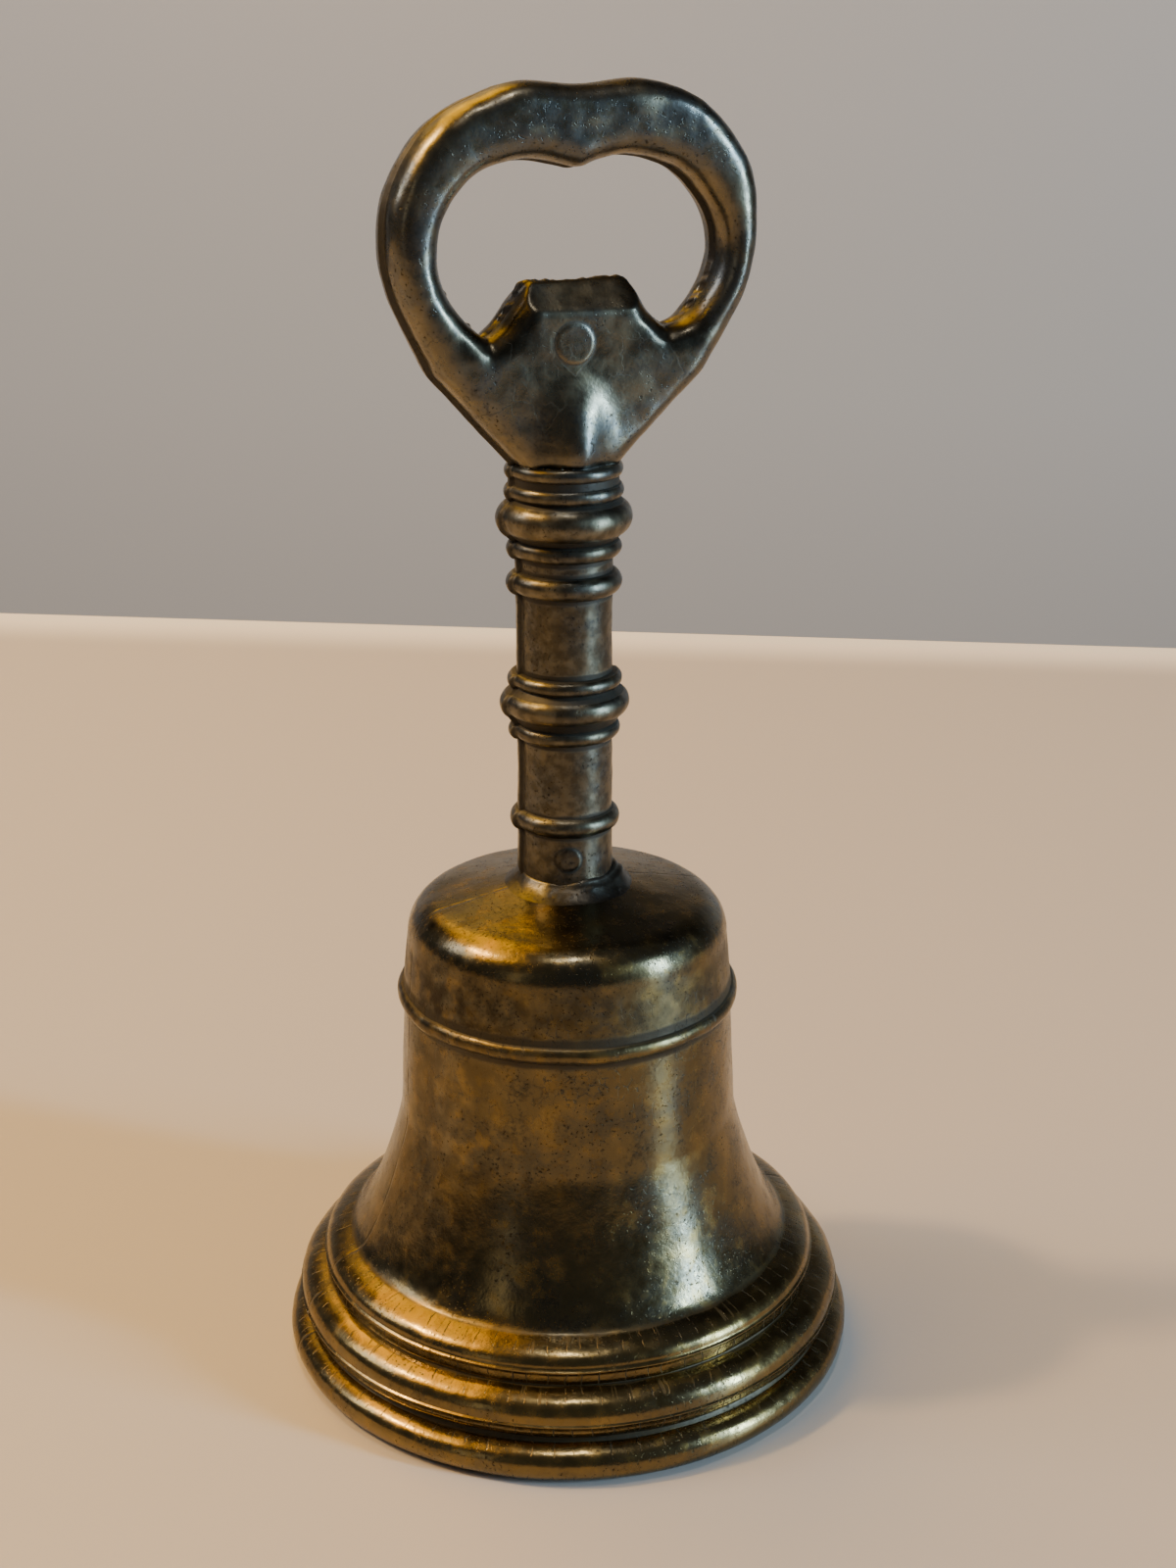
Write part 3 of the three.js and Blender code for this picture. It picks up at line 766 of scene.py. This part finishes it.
def hexagon_nut(name, low, high, hole_r):
    """A nut between two heights, with a countersunk hole and its corners chamfered at both ends."""
    across_corners = (high.x - low.x) / 2
    flat_r = across_corners * math.cos(math.pi / 6)
    bm = bmesh.new()
    side_steps = 12
    corners = bmesh.ops.create_circle(bm, segments=6, radius=across_corners)["verts"]
    if abs(corners[0].co.x) < 1e-6:  # a corner has to point along X
        bmesh.ops.rotate(bm, verts=corners, cent=(0, 0, 0), matrix=Matrix.Rotation(math.pi / 6, 3, "Z"))
    bmesh.ops.subdivide_edges(bm, edges=bm.edges[:], cuts=side_steps - 1)
    outline = bm.edges[:]
    bore = bmesh.ops.create_circle(bm, segments=6 * side_steps, radius=hole_r)["verts"]
    bore_edges = [e for e in bm.edges if all(v in bore for v in e.verts)]
    bmesh.ops.bridge_loops(bm, edges=outline + bore_edges)
    bmesh.ops.subdivide_edges(bm, edges=[e for e in bm.edges if e not in outline and e not in bore_edges],
                              cuts=5)
    sheet = bm.faces[:]
    lifted = bmesh.ops.extrude_face_region(bm, geom=sheet)["geom"]
    bmesh.ops.translate(bm, verts=[g for g in lifted if isinstance(g, bmesh.types.BMVert)],
                        vec=(0, 0, high.z - low.z))
    bmesh.ops.translate(bm, verts=bm.verts, vec=(0, 0, low.z))
    middle = (low.z + high.z) / 2
    for v in bm.verts:
        r = math.hypot(v.co.x, v.co.y)
        cut = max(r - flat_r * CHAMFER_FROM, 0) * math.tan(NUT_CHAMFER)
        cut += max(hole_r + COUNTERSINK - r, 0) * COUNTERSINK_SLOPE
        v.co.z += -cut if v.co.z > middle else cut
    bmesh.ops.recalc_face_normals(bm, faces=bm.faces)
    return made_object(name, bm, 22)


nut = hexagon_nut("eyebolt_nut_hexagon", nut_low, nut_high, BOLT_HOLE_R)
add_relief(nut.data, rounds=3, reach=0.12)
nut.data.materials.append(tarnished_steel("nut_steel", 0.95))
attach(nut, "bell")
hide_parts("eyebolt_nut")

# ---- clapper link ----
# A loose link of steel wire, bent round and closed, joins the eyebolt to the clapper's rod and lets
# the clapper swing freely.

link_low, link_high = (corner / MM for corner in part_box("clapper_link"))
LINK_WIRE = 0.9
link_r = (link_high.z - link_low.z) / 2 - LINK_WIRE
link_z = (link_high.z + link_low.z) / 2
link_bm = bmesh.new()
wire_ring(link_bm, link_r, LINK_WIRE, link_z, Vector((1, 0, 0)), steps=96)
link = made_object("clapper_link_wire", link_bm)
points, normals = positions(link.data), directions(link.data)
bearing = np.degrees(np.arctan2(points[:, 2] - link_z, points[:, 1]))
butt = hump(bearing, 0.0, 2.6)  # the two cut ends meet at one side of the link
points -= normals * (0.22 * butt + 0.02 * unevenness(points, 1.2, 13))[:, None]
reshape_mesh(link.data, points)
add_relief(link.data, rounds=6, reach=0.2)
link.data.materials.append(tarnished_steel("link_steel", 0.9))
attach(link, "link")
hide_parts("clapper_link")

# ---- clapper rod ----
# The clapper's steel rod has an eye forged at its top end, which hangs in the link, and a short thread
# at its foot for the nut under the ball.

rod_low, rod_high = (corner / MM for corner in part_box("clapper_rod"))
ROD_EYE_WIRE = 1.1
ROD_R = 1.2
ROD_THREAD_TOP_Z = 7.0
ROD_THREAD_PITCH = 0.5
rod_eye_r = rod_high.x - ROD_EYE_WIRE
rod_eye_z = rod_high.z - rod_high.x
rod_bm = bmesh.new()
wire_ring(rod_bm, rod_eye_r, ROD_EYE_WIRE, rod_eye_z, Vector((0, 1, 0)))
rod_top = rod_eye_z - rod_eye_r
bmesh.ops.create_cone(rod_bm, cap_ends=True, segments=48, radius1=ROD_R, radius2=ROD_R,
                      depth=rod_top - rod_low.z, matrix=Matrix.Translation((0, 0, (rod_top + rod_low.z) / 2)))
bmesh.ops.create_cone(rod_bm, cap_ends=True, segments=48, radius1=ROD_R, radius2=ROD_R * 1.35, depth=2.4,
                      matrix=Matrix.Translation((0, 0, rod_top - 1.0)))
rod = smoothed(remeshed(made_object("clapper_rod_forged", rod_bm), 0.16), 5)
points, normals = positions(rod.data), directions(rod.data)
thread_zone = np.clip((ROD_THREAD_TOP_Z - points[:, 2]) / 0.3, 0, 1)
turns = points[:, 2] / ROD_THREAD_PITCH + np.arctan2(points[:, 1], points[:, 0]) / (2 * math.pi)
grooves = 0.07 * (np.cos(2 * math.pi * turns) - 1) * thread_zone
lumps = 0.03 * unevenness(points, 2.0, 14)
points += normals * ((grooves + lumps) * (points[:, 2] > rod_low.z + 0.15))[:, None]
reshape_mesh(rod.data, points)
rod.data.shade_smooth()
add_relief(rod.data, rounds=6, reach=0.15)
rod.data.materials.append(tarnished_steel("rod_steel", 0.95))
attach(rod, "clapper")
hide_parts("clapper_rod")

# ---- clapper ball ----
# A turned brass ball, drilled through for the rod. It is flattened round the hole at both ends, and a
# band at its waist is bruised bright where it strikes the bell.

ball_low, ball_high = (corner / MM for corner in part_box("clapper_ball"))
ball_r = ball_high.x
ball_z = (ball_low.z + ball_high.z) / 2
BALL_HOLE_R = 1.32
FLAT_R = 2.2
flat_angle = math.degrees(math.acos(FLAT_R / ball_r))
flat_z = ball_r * math.sin(math.radians(flat_angle))
ball_profile = (
    [(BALL_HOLE_R, ball_z - flat_z + 0.2), (BALL_HOLE_R + 0.2, ball_z - flat_z)]
    + arc((0.0, ball_z, ball_r), -flat_angle, flat_angle, 56)
    + [(BALL_HOLE_R + 0.2, ball_z + flat_z), (BALL_HOLE_R, ball_z + flat_z - 0.2)]
)
ball = made_object("clapper_ball_turned", turned(ball_profile, 112, closed=True), 30)
points, normals = positions(ball.data), directions(ball.data)
bruises = np.minimum(unevenness(points, 1.6, 15) + 0.15, 0) * hump(points[:, 2], ball_z, 2.2)
reshape_mesh(ball.data, points + normals * (0.22 * bruises + 0.03 * unevenness(points, 4.0, 16))[:, None])
add_relief(ball.data, rounds=8, reach=0.15)

BALL_COLOURS = dict(bright=(0.72, 0.55, 0.27), plain=(0.42, 0.31, 0.145), second=(0.3, 0.215, 0.1),
                    dark=(0.07, 0.048, 0.025))
ball_finish = Finish("turned_ball_brass")
tool_lines = ball_finish.noise(0.5, 2.0, ball_finish.stretched((0.05, 0.05, 3.0)))
struck = ball_finish.band(ball_finish.z, ball_z, 1.2, 2.4)
ball_height = aged_brass(ball_finish, BALL_COLOURS, ball_finish.rise(
    ball_finish.noise(2.2, 4.0), 0.6, 0.75) * 0.5 * (1 - struck))
ball_finish.bump(ball_height * 0.6 + tool_lines * 0.02)
ball.data.materials.append(ball_finish.material)
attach(ball, "clapper")
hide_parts("clapper_ball")

# ---- nut under the ball ----
# A small hexagon nut of plain steel is screwed up the rod's thread and holds the ball in its place.
# It is made like the eyebolt's nut.

end_nut_low, end_nut_high = (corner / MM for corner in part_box("clapper_end_nut"))
end_nut = hexagon_nut("clapper_end_nut_hexagon", end_nut_low, end_nut_high, 1.3)
add_relief(end_nut.data, rounds=3, reach=0.1)
end_nut.data.materials.append(tarnished_steel("end_nut_steel", 0.9))
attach(end_nut, "clapper")
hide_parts("clapper_end_nut")

# ---- table, light and camera ----
# The bell stands near the far edge of a pale table, with a plain grey wall well behind it. Warm light
# comes from behind on the left, a tall cool window stands at the front right and a faint doorway at
# the front left, a softbox hangs overhead, and one light washes the wall.

TABLE_EDGE_POINT = Vector((0.11, 0.304, 0))
TABLE_TURN = math.radians(-25.3)
TABLE_EDGE_R = 0.008
TABLE_SIZE = 4.0
TABLE_DROP = 0.1
WALL_DISTANCE = 0.9
WALL_FOOT, WALL_TOP = -1.0, 3.0
PAINTED_EDGE_GLOW_AT = 318.0
TABLE_TO_WALL = (550.0, 650.0)
AIM = Vector((0, 0, 0.05))

room_bm = bmesh.new()
rounded = arc((-TABLE_EDGE_R, -TABLE_EDGE_R, TABLE_EDGE_R), 90, 0, 10)
section = [(-TABLE_SIZE, 0.0)] + rounded + [(0.0, -TABLE_DROP)]
line = [room_bm.verts.new((-TABLE_SIZE / 2, along, height)) for along, height in section]
wall_line = [room_bm.verts.new((-TABLE_SIZE / 2, WALL_DISTANCE, height)) for height in (WALL_FOOT, WALL_TOP)]
strip = [room_bm.edges.new(pair) for pair in zip(line, line[1:])]
strip.append(room_bm.edges.new(wall_line))
swept = bmesh.ops.extrude_edge_only(room_bm, edges=strip)["geom"]
bmesh.ops.translate(room_bm, verts=[g for g in swept if isinstance(g, bmesh.types.BMVert)],
                    vec=(TABLE_SIZE, 0, 0))
bmesh.ops.rotate(room_bm, verts=room_bm.verts, cent=(0, 0, 0), matrix=Matrix.Rotation(TABLE_TURN, 3, "Z"))
bmesh.ops.translate(room_bm, verts=room_bm.verts, vec=TABLE_EDGE_POINT)
bmesh.ops.recalc_face_normals(room_bm, faces=room_bm.faces)
room_mesh = bpy.data.meshes.new("table_and_wall")
room_bm.to_mesh(room_mesh)
room_bm.free()
room_mesh.shade_smooth()
room = bpy.data.objects.new("table_and_wall", room_mesh)
bpy.context.scene.collection.objects.link(room)

room_finish = Finish("pale_paint", metallic=0.0)
behind = room_finish.y * math.cos(TABLE_TURN) - room_finish.x * math.sin(TABLE_TURN)
# painted shade: the table darkens to near black towards the front, behind the camera, where the metal
# reflects it
painted_front_shade_fade = room_finish.rise(behind, -800.0, -200.0)
table_with_painted_light = room_finish.mix(painted_front_shade_fade, (0.08, 0.07, 0.06), (0.53, 0.48, 0.45))
# painted highlight: the table's rounded far edge is painted bright
painted_edge_glow = room_finish.band(behind, PAINTED_EDGE_GLOW_AT, 5.0, 26.0)
table_with_painted_light = room_finish.mix(painted_edge_glow * 0.6, table_with_painted_light, (1.0, 0.92, 0.8))
# painted shade: the wall darkens upwards, as light falls off
painted_falloff_up_wall = room_finish.rise(room_finish.z, 180.0, 800.0)
wall_with_painted_falloff = room_finish.mix(painted_falloff_up_wall, (0.56, 0.55, 0.55), (0.1, 0.1, 0.1))
on_wall = room_finish.rise(behind, *TABLE_TO_WALL)
room_finish.feed("Base Color", room_finish.mix(on_wall, table_with_painted_light, wall_with_painted_falloff))
# the same painted highlight glows faintly, though it is no lamp
room_finish.feed("Emission Color", room_finish.mix(painted_edge_glow, (0.0, 0.0, 0.0), (1.0, 0.8, 0.58)))
room_finish.feed("Emission Strength", 0.22)
room_finish.feed("Roughness", 0.4)
room_finish.bump(room_finish.noise(1.5, 2.0) * 0.02)
room_mesh.materials.append(room_finish.material)


def soft_light(name, bearing, height, distance, size, power, colour, target=AIM):
    """A studio light placed at a bearing round from +X and a height, both in degrees, and aimed."""
    bearing, height = math.radians(bearing), math.radians(height)
    towards = Vector((math.cos(bearing) * math.cos(height), math.sin(bearing) * math.cos(height),
                      math.sin(height)))
    lamp = bpy.data.lights.new(name, "AREA")
    lamp.shape = "RECTANGLE"
    lamp.size, lamp.size_y = size
    lamp.energy = power
    lamp.color = colour
    light = bpy.data.objects.new(name, lamp)
    light.location = towards * distance + AIM
    light.rotation_mode = "QUATERNION"
    light.rotation_quaternion = (Vector(target) - light.location).to_track_quat("-Z", "Y")
    bpy.context.scene.collection.objects.link(light)


soft_light("warm_panel", 138, 57, 1.0, (1.3, 0.45), 11.5, (1.0, 0.5, 0.0))
soft_light("warm_glow", 97, 38, 0.9, (0.45, 0.3), 0.6, (1.0, 0.66, 0.2))
soft_light("lamp", 163, 50, 1.4, (0.1, 0.1), 13.0, (1.0, 0.64, 0.25))
soft_light("window", -40, 15, 1.3, (0.09, 0.66), 23.0, (0.5, 0.76, 1.0))
soft_light("door", -145, 15, 1.3, (0.12, 0.6), 0.35, (1.0, 0.85, 0.6))
soft_light("softbox", -107, 78, 1.2, (0.1, 0.1), 2.5, (1.0, 0.93, 0.84))
soft_light("wall_wash", 155, 35, 1.2, (0.5, 0.5), 5.5, (0.93, 0.94, 1.0), target=(0.2, 1.25, 0.1))

world = bpy.data.worlds.new("studio")
bpy.context.scene.world = world
world.use_nodes = True
world.node_tree.nodes["Background"].inputs["Color"].default_value = (0.9, 0.95, 1.0, 1.0)
world.node_tree.nodes["Background"].inputs["Strength"].default_value = 0.1

CAMERA_PLACE = Vector((-0.07495, -0.224, 0.1577))
CAMERA_HEADING = math.radians(19.1)  # from +Y towards +X
CAMERA_PITCH = math.radians(-19.99)
lens = bpy.data.cameras.new("camera")
lens.lens = 49.5
lens.sensor_width = 36.0
lens.clip_start = 0.01
camera = bpy.data.objects.new("camera", lens)
camera.location = CAMERA_PLACE
sight = Vector((math.sin(CAMERA_HEADING) * math.cos(CAMERA_PITCH),
                math.cos(CAMERA_HEADING) * math.cos(CAMERA_PITCH), math.sin(CAMERA_PITCH)))
camera.rotation_mode = "QUATERNION"
camera.rotation_quaternion = sight.to_track_quat("-Z", "Y")
bpy.context.scene.collection.objects.link(camera)
bpy.context.scene.camera = camera
